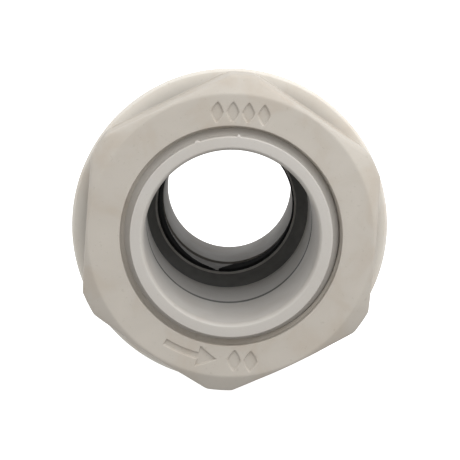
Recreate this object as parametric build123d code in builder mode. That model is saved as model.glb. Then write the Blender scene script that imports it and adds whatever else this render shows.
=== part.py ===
from build123d import *
from math import cos, radians, sin, tan
import os

os.makedirs("parts", exist_ok=True)

# Cable gland lying along Y, in millimetres. The origin is on the axis at the body's panel seat.
# The entry thread and its lock nut are on the -Y side, the clamping cap is on the +Y side.

# gland body
ENTRY_END = -10.0  # free end of the entry thread
THREAD_R = 11.25  # entry thread, outside radius
THREAD_TIP_R = 10.45  # entry thread at its chamfered end
BORE_R = 9.0  # cable passage through the entry thread
BORE_STEP_Y = 1.7  # where the passage opens out
PASSAGE_R = 9.2  # cable passage inside the hexagon
POCKET_R = 9.7  # pocket that holds the seal
POCKET_Y = 10.8  # floor of that pocket
BODY_AF = 27.0  # body hexagon across flats
BODY_HEX_L = 5.5
BODY_TURNED_R, BODY_FACE_R = 15.0, 13.3  # turned corners and the start of their chamfer
HEX_CHAMFER_L = 0.95  # length of a corner chamfer, body and cap
RELIEF_R = 10.9  # plain collar beside the cap thread
CAP_THREAD_R = 11.5  # thread for the cap nut, outside radius
CLAW_ROOT_Y = 10.9  # top of the solid collar, where the claw fingers start

# clamping claw
FINGERS = 12
FINGER_W = 4.3
FINGER_GAP = 0.1  # hinge gap between collar and finger
FINGER_TIP_Y = 17.15
FINGER_INNER_R = 9.7
FINGER_OUTER_R = 11.0

# seal insert
SEAL_Y0, SEAL_Y1 = 10.9, 17.95
SEAL_R = 9.6
SEAL_TIP_R = 9.0
FUNNEL_R0, FUNNEL_R1 = 9.2, 7.95  # lead-in towards the entry end, wide and narrow end
FUNNEL_Y0, FUNNEL_Y1 = 11.5, 13.5
SEAL_BORE_R = 7.7

# cap nut
CAP_Y0, CAP_Y1 = 6.3, 30.3
CAP_AF = 27.0
CAP_HEX_Y1 = 17.0
CAP_TURNED_R, CAP_FACE_R = 15.1, 13.4  # turned corners and the start of their chamfer
DOME_R = 13.2  # root of the domed end
CAP_BORE_R = 11.55
CONE_Y0 = 16.9  # wide end of the clamping cone
MOUTH_Y0 = 19.45  # narrow end of the clamping cone
MOUTH_R0, MOUTH_R1 = 7.75, 7.8

# lock nut and its gasket
NUT_Y0, NUT_Y1 = -9.45, -1.4
NUT_AF = 30.0
NUT_TURNED_R = 16.6  # hexagon corners are turned down to this radius
NUT_FACE_R = 14.8  # where the chamfer meets the front face
NUT_BORE_R = 11.3
NUT_MOUTH_R = 11.5
FLANGE_R, FLANGE_L = 16.82, 1.7
NUT_TURN = 94.3  # rest angle: a corner stands 4.3 degrees past the top
GASKET_Y0, GASKET_Y1 = -0.95, -0.05
GASKET_R, GASKET_BORE_R = 14.6, 11.32


def section(points):
    """A closed outline of (radius, y) points, ready to turn about the Y axis."""
    with BuildSketch(Plane.XY) as outline:
        with BuildLine():
            Polyline(*points, close=True)
        make_face()
    return outline.sketch


def across(y, turn=0.0):
    """A plane facing +Y at height y, turned about the axis."""
    a = radians(turn)
    return Plane(origin=(0, y, 0), x_dir=(cos(a), 0, -sin(a)), z_dir=(0, 1, 0))


def hexagon(y, turn, across_flats, length):
    """A hexagonal prism along the axis; at turn 0 two of its flats face up and down."""
    with BuildPart() as prism:
        with BuildSketch(across(y, turn)):
            RegularPolygon(radius=across_flats / 2, side_count=6, major_radius=False)
        extrude(amount=length)
    return prism.part


# Gland body: entry thread, hexagon and the threaded collar under the cap
with BuildPart() as gland_body:
    add(hexagon(0, 0, BODY_AF, BODY_HEX_L))
    revolve(
        section(
            [
                (0, 0),
                (BODY_FACE_R, 0),
                (BODY_TURNED_R, HEX_CHAMFER_L),
                (BODY_TURNED_R, BODY_HEX_L - HEX_CHAMFER_L),
                (BODY_FACE_R, BODY_HEX_L),
                (0, BODY_HEX_L),
            ]
        ),
        axis=Axis.Y,
        mode=Mode.INTERSECT,
    )
    revolve(
        section(
            [
                (0, ENTRY_END),
                (THREAD_TIP_R - 0.15, ENTRY_END),
                (THREAD_TIP_R, ENTRY_END + 0.15),
                (THREAD_R, ENTRY_END + 1.0),
                (THREAD_R, 1.0),
                (RELIEF_R, 1.0),
                (RELIEF_R, BODY_HEX_L + 0.5),
                (CAP_THREAD_R, BODY_HEX_L + 1.1),
                (CAP_THREAD_R, CLAW_ROOT_Y - 0.6),
                (RELIEF_R, CLAW_ROOT_Y),
                (0, CLAW_ROOT_Y),
            ]
        ),
        axis=Axis.Y,
    )
    revolve(
        section(
            [
                (0, ENTRY_END - 1),
                (BORE_R + 0.35, ENTRY_END - 1),
                (BORE_R + 0.35, ENTRY_END),
                (BORE_R + 0.1, ENTRY_END + 0.12),
                (BORE_R, ENTRY_END + 0.4),
                (BORE_R, BORE_STEP_Y),
                (PASSAGE_R, BORE_STEP_Y),
                (PASSAGE_R, POCKET_Y),
                (POCKET_R, POCKET_Y),
                (POCKET_R, CLAW_ROOT_Y + 1),
                (0, CLAW_ROOT_Y + 1),
            ]
        ),
        axis=Axis.Y,
        mode=Mode.SUBTRACT,
    )
gland_body.part.label = "gland_body"
export_step(gland_body.part, "parts/gland_body.step")


# Claw fingers: one shape, patterned round the axis, each free to flex on its root
def claw_finger(turn):
    """A finger of the claw: a slice of a chamfered sleeve, with parallel sides."""
    root = CLAW_ROOT_Y + FINGER_GAP
    with BuildPart() as finger:
        revolve(
            section(
                [
                    (FINGER_INNER_R, root),
                    (FINGER_OUTER_R, root),
                    (FINGER_OUTER_R, FINGER_TIP_Y - 0.85),
                    (FINGER_INNER_R + 0.15, FINGER_TIP_Y - 0.05),
                    (FINGER_INNER_R, FINGER_TIP_Y - 0.2),
                ]
            ),
            axis=Axis.Y,
        )
        with Locations((0, (root + FINGER_TIP_Y) / 2, 10)):
            Box(FINGER_W, FINGER_TIP_Y - root + 2, 8, mode=Mode.INTERSECT)
    return finger.part.rotate(Axis.Y, turn)


for number in range(1, FINGERS + 1):
    with BuildPart() as finger_part:
        add(claw_finger((number - 1) * 360 / FINGERS))
    finger_part.part.label = f"claw_finger_{number:02d}"
    export_step(finger_part.part, f"parts/claw_finger_{number:02d}.step")

# Seal insert: a thick rubber sleeve, tapered on the outside towards the cap
with BuildPart() as seal_insert:
    revolve(
        section(
            [
                (FUNNEL_R0 + 0.15, SEAL_Y0),
                (SEAL_R, SEAL_Y0),
                (SEAL_TIP_R, FINGER_TIP_Y),
                (SEAL_TIP_R, SEAL_Y1 - 0.35),
                (SEAL_TIP_R - 0.6, SEAL_Y1),
                (SEAL_BORE_R + 0.15, SEAL_Y1),
                (SEAL_BORE_R, SEAL_Y1 - 0.15),
                (SEAL_BORE_R, FUNNEL_Y1 + 0.5),
                (FUNNEL_R1, FUNNEL_Y1),
                (FUNNEL_R0, FUNNEL_Y0),
            ]
        ),
        axis=Axis.Y,
    )
seal_insert.part.label = "seal_insert"
export_step(seal_insert.part, "parts/seal_insert.step")

# Cap nut: hexagon with a domed end, threaded bore, clamping cone and flared mouth
with BuildPart() as cap_nut:
    add(hexagon(CAP_Y0, 0, CAP_AF, CAP_HEX_Y1 - CAP_Y0))
    revolve(
        section(
            [
                (0, CAP_Y0),
                (CAP_FACE_R, CAP_Y0),
                (CAP_TURNED_R, CAP_Y0 + HEX_CHAMFER_L),
                (CAP_TURNED_R, CAP_HEX_Y1 - HEX_CHAMFER_L),
                (CAP_FACE_R, CAP_HEX_Y1),
                (0, CAP_HEX_Y1),
            ]
        ),
        axis=Axis.Y,
        mode=Mode.INTERSECT,
    )
    revolve(
        section(
            [
                (0, CAP_HEX_Y1 - 1),
                (DOME_R, CAP_HEX_Y1 - 1),
                (DOME_R, CAP_HEX_Y1 + 1.5),
                (13.0, 21.0),
                (12.5, 24.0),
                (11.6, 26.9),
                (10.5, 28.9),
                (9.7, 29.9),
                (9.1, CAP_Y1),
                (0, CAP_Y1),
            ]
        ),
        axis=Axis.Y,
    )
    revolve(
        section(
            [
                (0, CAP_Y0 - 1),
                (CAP_BORE_R + 0.3, CAP_Y0 - 1),
                (CAP_BORE_R + 0.3, CAP_Y0),
                (CAP_BORE_R, CAP_Y0 + 0.5),
                (CAP_BORE_R, CONE_Y0),
                (MOUTH_R0 + 0.05, MOUTH_Y0),
                (MOUTH_R0, MOUTH_Y0 + 0.1),
                (MOUTH_R1, CAP_Y1 - 0.7),
                (MOUTH_R1 + 0.2, CAP_Y1 - 0.25),
                (MOUTH_R1 + 0.6, CAP_Y1),
                (MOUTH_R1 + 0.6, CAP_Y1 + 1),
                (0, CAP_Y1 + 1),
            ]
        ),
        axis=Axis.Y,
        mode=Mode.SUBTRACT,
    )
cap_nut.part.label = "cap_nut"
export_step(cap_nut.part, "parts/cap_nut.step")

# Panel gasket: flat rubber ring on the entry thread, behind the lock nut
with BuildPart() as panel_gasket:
    with BuildSketch(across(GASKET_Y0)):
        Circle(GASKET_R)
        Circle(GASKET_BORE_R, mode=Mode.SUBTRACT)
    extrude(amount=GASKET_Y1 - GASKET_Y0)
panel_gasket.part.label = "panel_gasket"
export_step(panel_gasket.part, "parts/panel_gasket.step")

# Lock nut: turned hexagon on a round flange, chamfered hole
with BuildPart() as lock_nut:
    add(hexagon(NUT_Y0, NUT_TURN, NUT_AF, NUT_Y1 - NUT_Y0 - 0.5))
    revolve(
        section(
            [
                (0, NUT_Y0),
                (NUT_FACE_R, NUT_Y0),
                (NUT_TURNED_R, NUT_Y0 + (NUT_TURNED_R - NUT_FACE_R) * tan(radians(30))),
                (NUT_TURNED_R, NUT_Y1 - 0.5),
                (0, NUT_Y1 - 0.5),
            ]
        ),
        axis=Axis.Y,
        mode=Mode.INTERSECT,
    )
    flange_y = NUT_Y1 - FLANGE_L
    revolve(
        section(
            [
                (0, flange_y),
                (FLANGE_R - 0.4, flange_y),
                (FLANGE_R - 0.1, flange_y + 0.15),
                (FLANGE_R, flange_y + 0.45),
                (FLANGE_R, NUT_Y1 - 0.3),
                (FLANGE_R - 0.3, NUT_Y1),
                (0, NUT_Y1),
            ]
        ),
        axis=Axis.Y,
    )
    revolve(
        section(
            [
                (0, NUT_Y0 - 1),
                (NUT_MOUTH_R, NUT_Y0 - 1),
                (NUT_MOUTH_R, NUT_Y0),
                (NUT_BORE_R, NUT_Y0 + 0.3),
                (NUT_BORE_R, NUT_Y1 - 0.3),
                (NUT_MOUTH_R, NUT_Y1),
                (NUT_MOUTH_R, NUT_Y1 + 1),
                (0, NUT_Y1 + 1),
            ]
        ),
        axis=Axis.Y,
        mode=Mode.SUBTRACT,
    )
lock_nut.part.label = "lock_nut"
export_step(lock_nut.part, "parts/lock_nut.step")
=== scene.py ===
import bpy, bmesh, math
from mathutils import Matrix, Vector


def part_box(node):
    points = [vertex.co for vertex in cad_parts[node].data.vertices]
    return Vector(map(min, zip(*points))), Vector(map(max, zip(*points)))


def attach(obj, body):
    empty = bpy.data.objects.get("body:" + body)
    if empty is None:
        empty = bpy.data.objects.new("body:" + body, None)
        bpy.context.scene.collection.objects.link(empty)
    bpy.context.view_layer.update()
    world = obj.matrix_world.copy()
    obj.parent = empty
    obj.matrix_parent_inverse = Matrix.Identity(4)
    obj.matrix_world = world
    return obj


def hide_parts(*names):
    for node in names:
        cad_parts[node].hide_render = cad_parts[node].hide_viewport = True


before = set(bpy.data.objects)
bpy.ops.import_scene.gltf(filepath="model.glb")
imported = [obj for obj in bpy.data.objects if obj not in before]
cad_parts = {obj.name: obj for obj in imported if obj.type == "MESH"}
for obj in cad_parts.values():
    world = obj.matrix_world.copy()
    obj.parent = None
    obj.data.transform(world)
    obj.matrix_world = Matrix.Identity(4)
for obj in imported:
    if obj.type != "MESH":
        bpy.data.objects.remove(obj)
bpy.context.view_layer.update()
MM = 0.001
TAU = 2 * math.pi

# The pieces are in millimetres, in the frame of the CAD model, where the gland's axis is Y.
# Materials, bevels, floor, light and camera are in metres.
# An angle is measured about the axis, from the top (+Z) towards +X.
ENTRY_PITCH, CAP_PITCH = 1.411, 1.5
NUT_TURN = math.radians(4.3)
FINGERS = 12


def span(node):
    """Where a CAD node starts and ends along the axis, and how far it reaches from the axis."""
    low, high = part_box(node)
    return low.y / MM, high.y / MM, max(high.x, high.z) / MM


BODY_Y0, CLAW_ROOT, _ = span("gland_body")
FINGER_Y0, FINGER_Y1, FINGER_R = span("claw_finger_01")
SEAL_Y0, SEAL_Y1, SEAL_R = span("seal_insert")
CAP_Y0, CAP_Y1, _ = span("cap_nut")
GASKET_Y0, GASKET_Y1, GASKET_R = span("panel_gasket")
NUT_Y0, NUT_Y1, FLANGE_R = span("lock_nut")


# ---------------------------------------------------------------- mesh helpers
def smooth_min(a, b, k):
    h = max(k - abs(a - b), 0.0) / k
    return min(a, b) - h * h * k / 4


def step(x, lo, hi):
    t = min(max((x - lo) / (hi - lo), 0.0), 1.0)
    return t * t * (3 - 2 * t)


def hex_radius(angle, across_flats, turned_r, soft=0.25):
    """Radius of a hexagon with turned corners, flats centred on angles 0, 60, 120 ..."""
    b = (angle + math.pi / 6) % (math.pi / 3) - math.pi / 6
    return smooth_min(across_flats / 2 / math.cos(b), turned_r, soft)


def rounded(points, segs=4):
    """An open run of (radius, y, fillet) points, each corner with a fillet rounded by a curve."""
    out = []
    for i, (r, y, f) in enumerate(points):
        if f <= 0 or i in (0, len(points) - 1):
            out.append((r, y))
            continue
        p = Vector((r, y))
        a, b = Vector(points[i - 1][:2]) - p, Vector(points[i + 1][:2]) - p
        f = min(f, a.length * 0.49, b.length * 0.49)
        if f < 1e-6:
            out += [(r, y)] * (segs + 1)
            continue
        p0, p1 = p + a.normalized() * f, p + b.normalized() * f
        for k in range(segs + 1):
            t = k / segs
            q = p0 * (1 - t) ** 2 + p * (2 * t * (1 - t)) + p1 * t * t
            out.append((q.x, q.y))
    return out


def thread(angle, y, pitch, root_r, crest_r):
    """Radius of a right-handed thread with slightly rounded flanks."""
    phase = (y / pitch - angle / TAU) % 1.0
    wave = abs(phase - 0.5) * 2
    return root_r + (crest_r - root_r) * step(wave, 0.14, 0.86)


def finish_mesh(name, mesh, material, sharp=38):
    bm = bmesh.new()
    bm.from_mesh(mesh)
    bmesh.ops.remove_doubles(bm, verts=bm.verts, dist=2e-7)
    bmesh.ops.dissolve_degenerate(bm, edges=bm.edges, dist=1e-7)
    bmesh.ops.recalc_face_normals(bm, faces=bm.faces)
    for f in bm.faces:
        f.smooth = True
    for e in bm.edges:
        if len(e.link_faces) == 2 and e.calc_face_angle(0) > math.radians(sharp):
            e.smooth = False
    bm.to_mesh(mesh)
    bm.free()
    obj = bpy.data.objects.new(name, mesh)
    bpy.context.scene.collection.objects.link(obj)
    mesh.materials.append(material)
    return obj


def lathe(name, angles, profile, material, sharp=38):
    """A closed solid of revolution whose closed (radius, y) outline may change with the angle."""
    verts, faces = [], []
    for a in angles:
        s, c = math.sin(a), math.cos(a)
        verts += [(r * s * MM, y * MM, r * c * MM) for r, y in profile(a)]
    n = len(verts) // len(angles)
    for i in range(len(angles)):
        j = (i + 1) % len(angles)
        for k in range(n):
            m = (k + 1) % n
            faces.append((i * n + k, i * n + m, j * n + m, j * n + k))
    mesh = bpy.data.meshes.new(name)
    mesh.from_pydata(verts, [], faces)
    return finish_mesh(name, mesh, material, sharp)


def even(count):
    return [TAU * i / count for i in range(count)]


def runs(start, stop, count):
    return [start + (stop - start) * i / count for i in range(count + 1)]


def shifted(points, angle, offset):
    """The outline's radii moved so that the circle they make is offset towards +X."""
    return [(r + offset(y) * math.sin(angle), y) for r, y in points]


def paint(obj, extra, pick):
    """Add materials to a piece; pick(radius, y, angle) gives each face's material, 0 being the first."""
    for material in extra:
        obj.data.materials.append(material)
    for face in obj.data.polygons:
        c = face.center / MM
        face.material_index = pick(math.hypot(c.x, c.z), c.y, math.atan2(c.x, c.z) % TAU)


def place(obj, node):
    """The piece stands for one CAD node: it rides on its body, and the node's own mesh is hidden."""
    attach(obj, node)
    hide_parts(node)


# ---------------------------------------------------------------- materials
def nodes_of(name):
    m = bpy.data.materials.new(name)
    m.use_nodes = True
    t = m.node_tree
    t.nodes.clear()
    out = t.nodes.new("ShaderNodeOutputMaterial")
    bsdf = t.nodes.new("ShaderNodeBsdfPrincipled")
    t.links.new(bsdf.outputs["BSDF"], out.inputs["Surface"])
    coord = t.nodes.new("ShaderNodeTexCoord")
    return m, t, bsdf, coord


def noise(t, coord, scale, detail=3.0, rough=0.5, distortion=0.0):
    n = t.nodes.new("ShaderNodeTexNoise")
    n.inputs["Scale"].default_value = scale
    n.inputs["Detail"].default_value = detail
    n.inputs["Roughness"].default_value = rough
    n.inputs["Distortion"].default_value = distortion
    t.links.new(coord.outputs["Object"], n.inputs["Vector"])
    return n


def ramp(t, source, stops):
    r = t.nodes.new("ShaderNodeValToRGB")
    r.color_ramp.elements.remove(r.color_ramp.elements[1])
    for i, (pos, col) in enumerate(stops):
        e = r.color_ramp.elements[0] if i == 0 else r.color_ramp.elements.new(pos)
        e.position = pos
        e.color = (*col, 1)
    t.links.new(source, r.inputs["Fac"])
    return r


def multiply(t, a, b):
    m = t.nodes.new("ShaderNodeMix")
    m.data_type = "RGBA"
    m.blend_type = "MULTIPLY"
    m.inputs["Factor"].default_value = 1.0
    t.links.new(a.outputs["Color"] if "Color" in a.outputs else a.outputs["Result"], m.inputs["A"])
    t.links.new(b.outputs["Color"], m.inputs["B"])
    return m


def bumps(t, bsdf, layers):
    """Stack bump layers of (noise node, strength, height in metres)."""
    last = None
    for source, strength, height in layers:
        b = t.nodes.new("ShaderNodeBump")
        b.inputs["Strength"].default_value = strength
        b.inputs["Distance"].default_value = height
        t.links.new(source.outputs["Fac"], b.inputs["Height"])
        if last:
            t.links.new(last.outputs["Normal"], b.inputs["Normal"])
        last = b
    t.links.new(last.outputs["Normal"], bsdf.inputs["Normal"])


def painted_shade_ramp(t, coord, inner, outer, shade):
    """A painted shade factor that rises from shade to 1 between two distances from the axis, in metres."""
    flat = t.nodes.new("ShaderNodeVectorMath")
    flat.operation = "MULTIPLY"
    flat.inputs[1].default_value = (1, 0, 1)
    t.links.new(coord.outputs["Object"], flat.inputs[0])
    reach = t.nodes.new("ShaderNodeVectorMath")
    reach.operation = "LENGTH"
    t.links.new(flat.outputs["Vector"], reach.inputs[0])
    fade = t.nodes.new("ShaderNodeMapRange")
    fade.inputs["From Min"].default_value = inner
    fade.inputs["From Max"].default_value = outer
    t.links.new(reach.outputs["Value"], fade.inputs["Value"])
    return ramp(t, fade.outputs["Result"], [(0.0, (shade,) * 3), (1.0, (1.0, 1.0, 1.0))])


def scaled(color, k):
    return tuple(c * k for c in color)


def nylon(name, color, gloss, cloudiness, painted_rim_shade=None):
    """Satin moulded nylon: cloudy colour, faint patches, fine specks and a slightly uneven skin."""
    m, t, bsdf, coord = nodes_of(name)
    cloud = noise(t, coord, 230, 4.0, 0.55, 0.6)
    warm = (1 - 0.6 * cloudiness, 1 - 1.0 * cloudiness, 1 - 1.4 * cloudiness)
    dark = tuple(c * w for c, w in zip(color, warm))
    light = scaled(color, 1 + 0.5 * cloudiness)
    tint = ramp(t, cloud.outputs["Fac"], [(0.30, dark), (0.5, color), (0.72, light)])
    patch = noise(t, coord, 75, 2.0, 0.5)
    shade = ramp(t, patch.outputs["Fac"], [(0.35, (0.96, 0.955, 0.95)), (0.65, (1.0, 1.0, 1.0))])
    base = multiply(t, tint, shade)
    speck = noise(t, coord, 2600, 2.0, 0.6)
    dots = ramp(t, speck.outputs["Fac"], [(0.27, (0.90, 0.89, 0.88)), (0.34, (1.0, 1.0, 1.0))])
    col = multiply(t, base, dots)
    # Optional painted shade: the colour is darkened near the axis and fades back to full towards the rim.
    if painted_rim_shade:
        col = multiply(t, col, painted_shade_ramp(t, coord, *painted_rim_shade))
    t.links.new(col.outputs["Result"], bsdf.inputs["Base Color"])
    gl = ramp(t, cloud.outputs["Fac"], [(0.3, (gloss + 0.06,) * 3), (0.7, (gloss - 0.05,) * 3)])
    t.links.new(gl.outputs["Color"], bsdf.inputs["Roughness"])
    broad, fine = noise(t, coord, 420, 2.0, 0.5), noise(t, coord, 5200, 3.0, 0.6)
    bumps(t, bsdf, [(broad, 0.3, 0.00002), (fine, 0.25, 0.000008)])
    bsdf.inputs["IOR"].default_value = 1.5
    bsdf.inputs["Specular IOR Level"].default_value = 0.4
    bsdf.inputs["Subsurface Weight"].default_value = 0.12
    bsdf.inputs["Subsurface Radius"].default_value = (1.0, 0.9, 0.8)
    bsdf.inputs["Subsurface Scale"].default_value = 0.0006
    return m


def rubber(name, dark, light, gloss, sheen=0.35):
    """Moulded rubber, cloudy between two colours, with a fine grain."""
    m, t, bsdf, coord = nodes_of(name)
    bloom = noise(t, coord, 520, 4.0, 0.6, 0.8)
    col = ramp(t, bloom.outputs["Fac"], [(0.35, dark), (0.7, light)])
    t.links.new(col.outputs["Color"], bsdf.inputs["Base Color"])
    gl = ramp(t, bloom.outputs["Fac"], [(0.3, (gloss - 0.04,) * 3), (0.7, (gloss + 0.06,) * 3)])
    t.links.new(gl.outputs["Color"], bsdf.inputs["Roughness"])
    bumps(t, bsdf, [(noise(t, coord, 4200, 3.0, 0.6), 0.4, 0.00001)])
    bsdf.inputs["Specular IOR Level"].default_value = sheen
    return m


nut_mat = nylon("nylon_lock_nut", (0.46, 0.426, 0.378), 0.5, 0.085)
# Painted light: the flange is a paler copy of the nut's nylon, with painted shade at the foot of the hex
# fading out towards a pale rim.
flange_painted_light_mat = nylon("nylon_nut_flange_painted_light", (0.63, 0.598, 0.545), 0.5, 0.085, (0.0150, 0.0164, 0.62))
body_mat = nylon("nylon_body", (0.475, 0.452, 0.42), 0.42, 0.025)
# Painted shadow: a dark nylon for the band round the bore at the step where it widens.
step_shadow_mat = nylon("nylon_step_painted_shadow", (0.11, 0.108, 0.10), 0.6, 0.05)
cap_mat = nylon("nylon_cap", (0.45, 0.425, 0.39), 0.46, 0.04)
# Painted shade: the wall of the cap's mouth is a darker copy of the cap's nylon.
mouth_shade_mat = nylon("nylon_cap_mouth_painted_shade", (0.24, 0.224, 0.205), 0.5, 0.08)
seal_mat = rubber("rubber_seal", (0.130, 0.130, 0.126), (0.165, 0.165, 0.160), 0.75)
# Painted shade: a near-black copy of the seal's rubber for its bore.
bore_shade_mat = rubber("rubber_seal_bore_painted_shade", (0.003, 0.003, 0.003), (0.008, 0.008, 0.008), 0.9, 0.05)
# Painted highlight: a pale copy of the seal's rubber for the rounded lip.
lip_highlight_mat = rubber("rubber_seal_lip_painted_highlight", (0.34, 0.33, 0.31), (0.44, 0.43, 0.41), 0.6)
# Painted reflection: a pale copy of the seal's rubber for a wedge on the bore.
reflection_patch_mat = rubber("rubber_seal_painted_reflection", (0.24, 0.235, 0.225), (0.38, 0.37, 0.355), 0.7)
gasket_mat = rubber("rubber_gasket", (0.014, 0.014, 0.015), (0.030, 0.030, 0.031), 0.6)


# ---------------------------------------------------------------- lock nut
NUT_AF, NUT_CORNER_R, NUT_FACE_R = 30.0, 16.6, 14.75
FLANGE_L = 1.7
MARK_R, MARK_DEPTH = 12.95, 0.24
MARK_R0, MARK_R1 = 11.95, 14.35  # the band of the face that is meshed finely for the marks
TOP_MARKS, LOW_MARKS = 15.5, (164.5, 210.5)  # degrees to each side of the top, and from and to below
FINE_STEP, COARSE_STEP = 0.25, 0.75  # degrees between sections, with and without marks
FLAT_AT, FLAT_DEPTH = math.radians(152), 0.28  # where the flange is straighter than a circle


def lozenge(u, v, u0, v0, half_u, half_v):
    """Distance inside a lozenge with soft corners, positive inside."""
    du, dv = abs(u - u0) / half_u, abs(v - v0) / half_v
    return (1.0 - (du**1.25 + dv**1.25) ** 0.8) * min(half_u, half_v)


def marks(angle, r):
    """Depth in millimetres of the sunk marks: lozenges at the top, a curved arrow and lozenges below."""
    a = angle - NUT_TURN
    u, v = r * math.sin(a), r * math.cos(a)
    inside = -1.0
    if v > 10:
        for u0 in (-2.4, -0.8, 0.8, 2.4):
            inside = max(inside, lozenge(u, v, u0, MARK_R - 0.1 - u0 * u0 * 0.02, 0.66, 1.1))
    elif v < -9:
        for u0 in (1.25, 2.95):
            inside = max(inside, lozenge(u, v, u0, -MARK_R, 0.72, 1.15))
        along = math.asin(max(-1, min(1, -u / r))) * MARK_R  # to the left of the bottom corner
        off = abs(r - MARK_R)
        head = min((along - 0.55) * 0.57 - off, 2.6 - along)
        stem = min(0.36 - off, 6.3 - along, along - 2.2)
        inside = max(inside, head, stem)
    return MARK_DEPTH * step(inside, -0.03, 0.14)


def nut_angles():
    """Fine steps where the face carries marks, coarser ones elsewhere."""
    out, a = [], 0.0
    while a < 360 - 1e-6:
        out.append(math.radians(a) + NUT_TURN)
        marked = min(a, 360 - a) < TOP_MARKS or LOW_MARKS[0] < a < LOW_MARKS[1]
        a += FINE_STEP if marked else COARSE_STEP
    return out


def nut_profile(angle):
    flat = hex_radius(angle - NUT_TURN - math.pi / 6, NUT_AF, NUT_CORNER_R, 0.1)
    slope = math.tan(math.radians(30))
    flange_y = NUT_Y1 - FLANGE_L
    rim = FLANGE_R - FLAT_DEPTH * max(0.0, math.cos(angle - FLAT_AT)) ** 12
    face = [(r, NUT_Y0 + marks(angle, r)) for r in runs(MARK_R0, MARK_R1, 48)]
    outer = rounded(
        [
            (14.4, NUT_Y0, 0),
            (NUT_FACE_R, NUT_Y0, 0.35),
            (flat - 0.05, NUT_Y0 + (flat - NUT_FACE_R) * slope, 0.45),
            (flat - 0.02, flange_y - 0.4, 0),
            (flat - 0.02, flange_y, 0.35),
            (max(flat + 0.02, rim - 0.25), flange_y, 0.12),
            (max(flat + 0.04, rim), flange_y + 0.35, 0.25),
            (max(flat + 0.04, rim), NUT_Y1 - 0.35, 0.25),
            (rim - 0.35, NUT_Y1, 0.25),
            (11.75, NUT_Y1, 0.1),
            (11.45, NUT_Y1 - 0.35, 0),
        ],
        4,
    )
    bore = []
    for y in runs(NUT_Y1 - 0.45, NUT_Y0 + 0.75, 50):
        fade = step(y, NUT_Y0 + 0.6, NUT_Y0 + 1.5) * step(-y, 0.3 - NUT_Y1, 1.0 - NUT_Y1)
        r = thread(angle, y, ENTRY_PITCH, 10.72, 11.36)
        bore.append((11.42 + (r - 11.42) * fade, y))
    mouth = rounded(
        [
            (11.42, NUT_Y0 + 0.7, 0),
            (11.44, NUT_Y0 + 0.12, 0.05),
            (11.5, NUT_Y0, 0.05),
            (11.9, NUT_Y0, 0),
        ],
        4,
    )
    return face + outer + bore + mouth


def nut_paint(r, y, angle):
    """The flange takes the paler nylon: painted light, with painted shade at the foot of the hex that
    fades out towards its rim.
    """
    return int(y > NUT_Y1 - FLANGE_L - 0.02 and r > NUT_AF / 2 - 0.05)


nut = lathe("lock_nut_detail", nut_angles(), nut_profile, nut_mat)
paint(nut, [flange_painted_light_mat], nut_paint)
place(nut, "lock_nut")


# ---------------------------------------------------------------- gland body
BODY_AF, BODY_CORNER_R, BODY_HEX_L, BODY_FACE_R = 27.0, 15.0, 5.5, 13.1
STEP_Y, PASSAGE_R = 1.62, 9.2  # where the bore widens, and to what radius
STEP_SHADOW_L = 0.95  # length of the painted shadow, a dark line round the bore in front of that step
# Crumbs on the rim of the tube: place and half width in radians, height in millimetres.
CRUMBS = [(math.radians(-19.5), 0.032, 0.21), (math.radians(4.2), 0.020, 0.23)]


def crumbs(angle):
    """How far the crumbs stand out from the rim."""
    total = 0.0
    for at, width, height in CRUMBS:
        d = (angle - at + math.pi) % TAU - math.pi
        total += height * max(0.0, 1 - (d / width) ** 2)
    return total


def body_angles():
    """Even steps, with finer ones across the crumbs."""
    fine = [(at + k * 0.004) % TAU for at, _, _ in CRUMBS for k in range(-9, 10)]
    return sorted(set(even(360) + fine))


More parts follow.
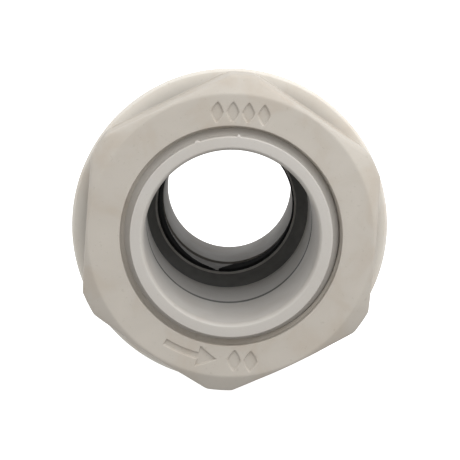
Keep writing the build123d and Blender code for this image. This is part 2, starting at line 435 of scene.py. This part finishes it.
def body_profile(angle):
    crumb = crumbs(angle)
    spigot = rounded(
        [
            (9.5, BODY_Y0, 0),
            (10.36 + crumb * 0.4, BODY_Y0, 0.04),
            (10.43 + crumb, BODY_Y0 + 0.08 + crumb * 0.3, 0.05),
            (10.44, BODY_Y0 + 1.25, 0.08),
            (11.16, BODY_Y0 + 1.8, 0.12),
            (11.2, BODY_Y0 + 1.95, 0),
        ],
        3,
    )
    for y in runs(BODY_Y0 + 2.0, -0.7, 76):
        lead = step(y, BODY_Y0 + 2.0, BODY_Y0 + 2.9)
        r = thread(angle, y, ENTRY_PITCH, 10.60, 11.22)
        r = 11.2 + (r - 11.2) * lead
        spigot.append((10.62 + (r - 10.62) * step(-y, 0.75, 1.4), y))
    flat = hex_radius(angle, BODY_AF, BODY_CORNER_R, 0.3)
    drop = (flat - BODY_FACE_R) * math.tan(math.radians(30))
    shoulder = rounded(
        [
            (10.62, -0.55, 0),
            (10.62, 0.0, 0.25),
            (BODY_FACE_R, 0.0, 0.2),
            (flat, drop, 0.25),
            (flat, BODY_HEX_L - drop, 0.25),
            (BODY_FACE_R, BODY_HEX_L, 0.2),
            (10.55, BODY_HEX_L, 0.2),
            (10.55, BODY_HEX_L + 0.4, 0),
        ],
        4,
    )
    collar = []
    for y in runs(BODY_HEX_L + 0.5, CLAW_ROOT - 0.3, 48):
        fade = step(y, BODY_HEX_L + 0.5, BODY_HEX_L + 1.2) * step(-y, 0.3 - CLAW_ROOT, 0.9 - CLAW_ROOT)
        r = thread(angle, y, CAP_PITCH, 10.78, 11.46)
        collar.append((10.8 + (r - 10.8) * fade, y))
    inside = rounded(
        [
            (10.8, CLAW_ROOT - 0.25, 0),
            (10.8, CLAW_ROOT, 0.1),
            (9.72, CLAW_ROOT, 0.03),
            (9.72, CLAW_ROOT - 0.1, 0.03),
            (PASSAGE_R, CLAW_ROOT - 0.1, 0.04),
            (PASSAGE_R, STEP_Y + 0.1, 0.03),
            (9.0, STEP_Y, 0.03),
            (9.0, STEP_Y - STEP_SHADOW_L, 0),
            (8.96, BODY_Y0 + 1.3, 0),
            (8.97, BODY_Y0 + 0.75, 0.25),
            (9.06, BODY_Y0 + 0.3, 0.25),
            (9.3, BODY_Y0, 0.25),
            (9.5, BODY_Y0, 0),
        ],
        4,
    )
    return spigot + shoulder + collar + inside[:-1]


def body_paint(r, y, angle):
    """The dark line round the bore and the step behind it take the darker nylon: a painted shadow at the
    step.
    """
    return int(r < PASSAGE_R + 0.1 and STEP_Y - STEP_SHADOW_L < y < STEP_Y + 0.15)


body = lathe("gland_body_detail", body_angles(), body_profile, body_mat)
paint(body, [step_shadow_mat], body_paint)
place(body, "gland_body")


# ---------------------------------------------------------------- claw fingers
def finger(number):
    """A lamella: sleeve slice with parallel sides, chamfered tip and softened edges."""
    inner, outer = 9.74, FINGER_R - 0.17  # clears the cap's thread as it comes off
    rows = [
        (inner, FINGER_Y0 + 0.02),
        (outer, FINGER_Y0 + 0.02),
        (outer, FINGER_Y0 + 1.0),
        (outer - 0.08, FINGER_Y0 + 1.3),
        (outer - 0.08, FINGER_Y1 - 0.95),
        (inner + 0.14, FINGER_Y1 - 0.02),
        (inner, FINGER_Y1 - 0.2),
        (inner, FINGER_Y0 + 3.0),
    ]
    half, n, m = 2.12, 12, len(rows)
    verts, faces = [], []
    for x in runs(-half, half, n):
        verts += [(x * MM, y * MM, math.sqrt(r * r - x * x) * MM) for r, y in rows]
    for k in range(n):
        for i in range(m):
            j = (i + 1) % m
            faces.append((k * m + i, k * m + j, (k + 1) * m + j, (k + 1) * m + i))
    faces.append(tuple(range(m)))
    faces.append(tuple(n * m + i for i in reversed(range(m))))
    a = TAU * (number - 1) / FINGERS
    s, c = math.sin(a), math.cos(a)
    verts = [(x * c + z * s, y, z * c - x * s) for x, y, z in verts]
    mesh = bpy.data.meshes.new(f"finger_{number:02d}_mesh")
    mesh.from_pydata(verts, [], faces)
    obj = finish_mesh(f"claw_finger_{number:02d}_detail", mesh, body_mat, 30)
    bevel = obj.modifiers.new("edges", "BEVEL")
    bevel.width = 0.00009
    bevel.segments = 3
    bevel.limit_method = "ANGLE"
    bevel.angle_limit = math.radians(35)
    bevel.use_clamp_overlap = True
    place(obj, f"claw_finger_{number:02d}")


for number in range(1, FINGERS + 1):
    finger(number)


# ---------------------------------------------------------------- seal insert
SEAL_BORE_R, FUNNEL_R0, FUNNEL_R1 = 7.72, 9.2, 7.93
FUNNEL_Y0, FUNNEL_Y1 = 11.5, 13.5
LIP_SHIFT, LEAN = -0.13, 0.35  # to the left at the lip, then this much to the right along the bore
# Where the painted reflection lies on the seal's bore.
PATCH_AT, PATCH_LEFT, PATCH_RIGHT = math.radians(188), math.radians(75), math.radians(16)
PATCH_L, PATCH_CURVE = 4.2, 0.65


def seal_offset(y):
    """How far the sleeve stands to the right of the axis, less than 0 being to the left."""
    return LIP_SHIFT * step(y, SEAL_Y0, FUNNEL_Y1) + LEAN * step(y, FUNNEL_Y1, SEAL_Y1)


def bore_radius(y):
    return SEAL_BORE_R + (FUNNEL_R1 - 0.05 - SEAL_BORE_R) * step(FUNNEL_Y1 + 1.0 - y, 0.0, 0.8)


def seal_profile(angle):
    outline = rounded(
        [
            (9.45, SEAL_Y0, 0),
            (SEAL_R - 0.02, SEAL_Y0, 0.08),
            (8.98, FINGER_Y1, 0.1),
            (8.98, SEAL_Y1 - 0.35, 0.2),
            (8.4, SEAL_Y1, 0.2),
            (SEAL_BORE_R + 0.2, SEAL_Y1, 0.15),
            (SEAL_BORE_R, SEAL_Y1 - 0.3, 0.15),
            *[(bore_radius(y), y, 0) for y in runs(SEAL_Y1 - 0.5, FUNNEL_Y1 + 0.2, 36)],
            (FUNNEL_R1, FUNNEL_Y1, 0.12),
            (FUNNEL_R1 + 0.2, FUNNEL_Y1 - 0.25, 0),
            (FUNNEL_R0, FUNNEL_Y0, 0.2),
            (9.32, SEAL_Y0, 0.1),
            (9.45, SEAL_Y0, 0),
        ],
        6,
    )
    return shifted(outline[:-1], angle, seal_offset)


def patch_from(angle):
    """Where along the bore the pale patch of painted reflection starts: a wedge with its point at the
    bottom, by the lip.
    """
    away = angle - PATCH_AT
    spread = away / PATCH_LEFT if away > 0 else -away / PATCH_RIGHT
    return FUNNEL_Y1 + 0.1 + PATCH_L * spread**PATCH_CURVE


def seal_paint(r, y, angle):
    """The bore is painted black as shade up to a pale patch that is a painted reflection, and the lip in
    front of it is pale, a painted highlight.
    """
    if r > FUNNEL_R1 + 0.35 or y <= FUNNEL_Y1 - 0.26:
        return 0
    if y <= FUNNEL_Y1 + 0.06:
        return 2
    return 1 if y < patch_from(angle) else 3


seal = lathe("seal_insert_detail", even(256), seal_profile, seal_mat)
paint(seal, [bore_shade_mat, lip_highlight_mat, reflection_patch_mat], seal_paint)
place(seal, "seal_insert")


# ---------------------------------------------------------------- cap nut
CAP_AF, CAP_CORNER_R, CAP_FACE_R = 27.0, 15.1, 13.3
CAP_HEX_Y1, CONE_Y0, SHOULDER_Y = 17.0, 16.9, 19.5
MOUTH_R0, MOUTH_R1 = 7.78, 7.62
MOUTH_SHIFT, MOUTH_LEAN = 0.36, 0.25  # to the right at the shoulder, then this much more to the end


def mouth_offset(y):
    """How far the mouth stands to the right of the axis."""
    return MOUTH_SHIFT * step(y, CONE_Y0, SHOULDER_Y) + MOUTH_LEAN * step(y, SHOULDER_Y, CAP_Y1)


def cap_profile(angle):
    flat = hex_radius(angle, CAP_AF, CAP_CORNER_R, 0.3)
    drop = (flat - CAP_FACE_R) * math.tan(math.radians(30))
    outer = rounded(
        [
            (12.5, CAP_Y0, 0),
            (CAP_FACE_R, CAP_Y0, 0.2),
            (flat, CAP_Y0 + drop, 0.25),
            (flat, CAP_HEX_Y1 - drop, 0.3),
            (CAP_FACE_R, CAP_HEX_Y1, 0.15),
            (13.12, CAP_HEX_Y1, 0.12),
            (13.12, CAP_HEX_Y1 + 1.1, 0),
            (13.05, 19.4, 0),
            (12.85, 21.4, 0),
            (12.45, 23.7, 0),
            (11.9, 25.7, 0),
            (11.2, 27.6, 0),
            (10.45, 28.9, 0.4),
            (9.8, 29.8, 0.5),
            (9.2, CAP_Y1, 0.3),
            (8.75, CAP_Y1, 0.2),
        ],
        4,
    )
    mouth = rounded(
        [
            (8.75, CAP_Y1, 0),
            (8.3, CAP_Y1 - 0.02, 0.3),
            (MOUTH_R1, CAP_Y1 - 0.75, 0.4),
            (MOUTH_R0, SHOULDER_Y + 0.15, 0),
            (MOUTH_R0 + 0.02, SHOULDER_Y, 0.06),
            (8.1, SHOULDER_Y - 0.2, 0.15),
            (11.5, CONE_Y0 + 0.05, 0.2),
            (11.55, CONE_Y0 - 0.6, 0),
        ],
        5,
    )
    mouth = shifted(mouth, angle, mouth_offset)
    bore = []
    for y in runs(CONE_Y0 - 0.8, CAP_Y0 + 0.8, 76):
        fade = step(y, CAP_Y0 + 0.8, CAP_Y0 + 1.7) * step(-y, 4.2 - CONE_Y0, 5.0 - CONE_Y0)
        r = thread(angle, y, CAP_PITCH, 10.88, 11.56)
        bore.append((11.58 + (r - 11.58) * fade, y))
    rim = rounded(
        [
            (11.6, CAP_Y0 + 0.6, 0),
            (11.65, CAP_Y0 + 0.4, 0.1),
            (11.95, CAP_Y0, 0.12),
            (12.4, CAP_Y0, 0),
        ],
        3,
    )
    return outer + mouth[1:] + bore + rim


def cap_paint(r, y, angle):
    """The wall of the mouth takes the darker nylon, which is painted shade inside the mouth."""
    return int(r < 9.0 and CONE_Y0 + 1 < y < CAP_Y1 - 0.8)


cap = lathe("cap_nut_detail", even(300), cap_profile, cap_mat)
paint(cap, [mouth_shade_mat], cap_paint)
place(cap, "cap_nut")


# ---------------------------------------------------------------- panel gasket
def gasket_profile(angle):
    outline = rounded(
        [
            (13.0, GASKET_Y0, 0),
            (GASKET_R, GASKET_Y0, 0.25),
            (GASKET_R - 0.02, GASKET_Y1, 0.25),
            (11.36, GASKET_Y1, 0.2),
            (11.34, GASKET_Y0, 0.2),
            (13.0, GASKET_Y0, 0),
        ],
        4,
    )
    return outline[:-1]


gasket = lathe("panel_gasket_detail", even(192), gasket_profile, gasket_mat)
place(gasket, "panel_gasket")


# ---------------------------------------------------------------- floor
def studio_floor(size, z, glow):
    """A pale floor bright enough to stay white; it doesn't light the gland from below."""
    m, t, bsdf, _ = nodes_of("pale_floor")
    bsdf.inputs["Base Color"].default_value = (0.6, 0.6, 0.6, 1)
    bsdf.inputs["Roughness"].default_value = 0.9
    bsdf.inputs["Specular IOR Level"].default_value = 0.1
    bsdf.inputs["Emission Color"].default_value = (1, 1, 1, 1)
    bsdf.inputs["Emission Strength"].default_value = glow
    mesh = bpy.data.meshes.new("studio_floor")
    h = size / 2
    mesh.from_pydata([(-h, -h, z), (h, -h, z), (h, h, z), (-h, h, z)], [], [(0, 1, 2, 3)])
    mesh.materials.append(m)
    obj = bpy.data.objects.new("studio_floor", mesh)
    bpy.context.scene.collection.objects.link(obj)
    obj.visible_diffuse = False
    obj.visible_glossy = False
    obj.visible_shadow = False


studio_floor(6.0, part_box("lock_nut")[0].z - 0.00005, 0.94)


# ---------------------------------------------------------------- light
DIM_START, DIM_FULL = 0.80, 0.97  # how nearly straight along the axis the surround starts and ends dimming


def studio_light(low, high, front, back):
    """A plain white surround: brighter towards the top, dimmer straight in front and straight behind."""
    world = bpy.data.worlds.new("studio")
    bpy.context.scene.world = world
    world.use_nodes = True
    t = world.node_tree
    t.nodes.clear()
    out = t.nodes.new("ShaderNodeOutputWorld")
    bg = t.nodes.new("ShaderNodeBackground")
    coord = t.nodes.new("ShaderNodeTexCoord")
    split = t.nodes.new("ShaderNodeSeparateXYZ")
    t.links.new(coord.outputs["Generated"], split.inputs["Vector"])
    grade = t.nodes.new("ShaderNodeMapRange")
    grade.inputs["From Min"].default_value = -1.0
    grade.inputs["From Max"].default_value = 1.0
    grade.inputs["To Min"].default_value = low
    grade.inputs["To Max"].default_value = high
    t.links.new(split.outputs["Z"], grade.inputs["Value"])
    strength = grade.outputs["Result"]
    for side, share in ((-1, front), (1, back)):
        dim = t.nodes.new("ShaderNodeMapRange")
        dim.interpolation_type = "SMOOTHSTEP"
        dim.inputs["From Min"].default_value = side * DIM_START
        dim.inputs["From Max"].default_value = side * DIM_FULL
        dim.inputs["To Min"].default_value = 1.0
        dim.inputs["To Max"].default_value = share
        t.links.new(split.outputs["Y"], dim.inputs["Value"])
        both = t.nodes.new("ShaderNodeMath")
        both.operation = "MULTIPLY"
        t.links.new(strength, both.inputs[0])
        t.links.new(dim.outputs["Result"], both.inputs[1])
        strength = both.outputs["Value"]
    t.links.new(strength, bg.inputs["Strength"])
    t.links.new(bg.outputs["Background"], out.inputs["Surface"])


def softbox(name, loc, size, power):
    data = bpy.data.lights.new(name, "AREA")
    data.shape = "RECTANGLE"
    data.size, data.size_y = size
    data.energy = power
    obj = bpy.data.objects.new(name, data)
    obj.location = loc
    obj.rotation_euler = (-Vector(loc)).to_track_quat("-Z", "Y").to_euler()
    bpy.context.scene.collection.objects.link(obj)


studio_light(0.58, 1.69, 0.86, 0.75)
softbox("softbox_top", (0.075, -0.09, 0.12), (0.16, 0.12), 0.15)


# ---------------------------------------------------------------- camera
DISTANCE, AZ, EL = 0.178, math.radians(-1.2), math.radians(9.2)
LENS, SENSOR = 136.0, 36.0
AIM_UP, AIM_LEFT = 0.00082, 0.00014  # metres from the centre of the tube's end to the picture's centre

cam_data = bpy.data.cameras.new("camera")
cam = bpy.data.objects.new("camera", cam_data)
bpy.context.scene.collection.objects.link(cam)
cam_data.sensor_width = SENSOR
cam_data.lens = LENS
cam_data.clip_start = 0.01
back = Vector((math.sin(AZ) * math.cos(EL), -math.cos(AZ) * math.cos(EL), math.sin(EL)))
right = Vector((math.cos(AZ), math.sin(AZ), 0))
up = right.cross(-back)
aim = Vector((0, BODY_Y0 * MM, 0)) + up * AIM_UP - right * AIM_LEFT
cam.location = aim + back * DISTANCE
cam.rotation_euler = (-back).to_track_quat("-Z", "Y").to_euler()
bpy.context.scene.camera = cam
bpy.context.scene.view_settings.view_transform = "Standard"
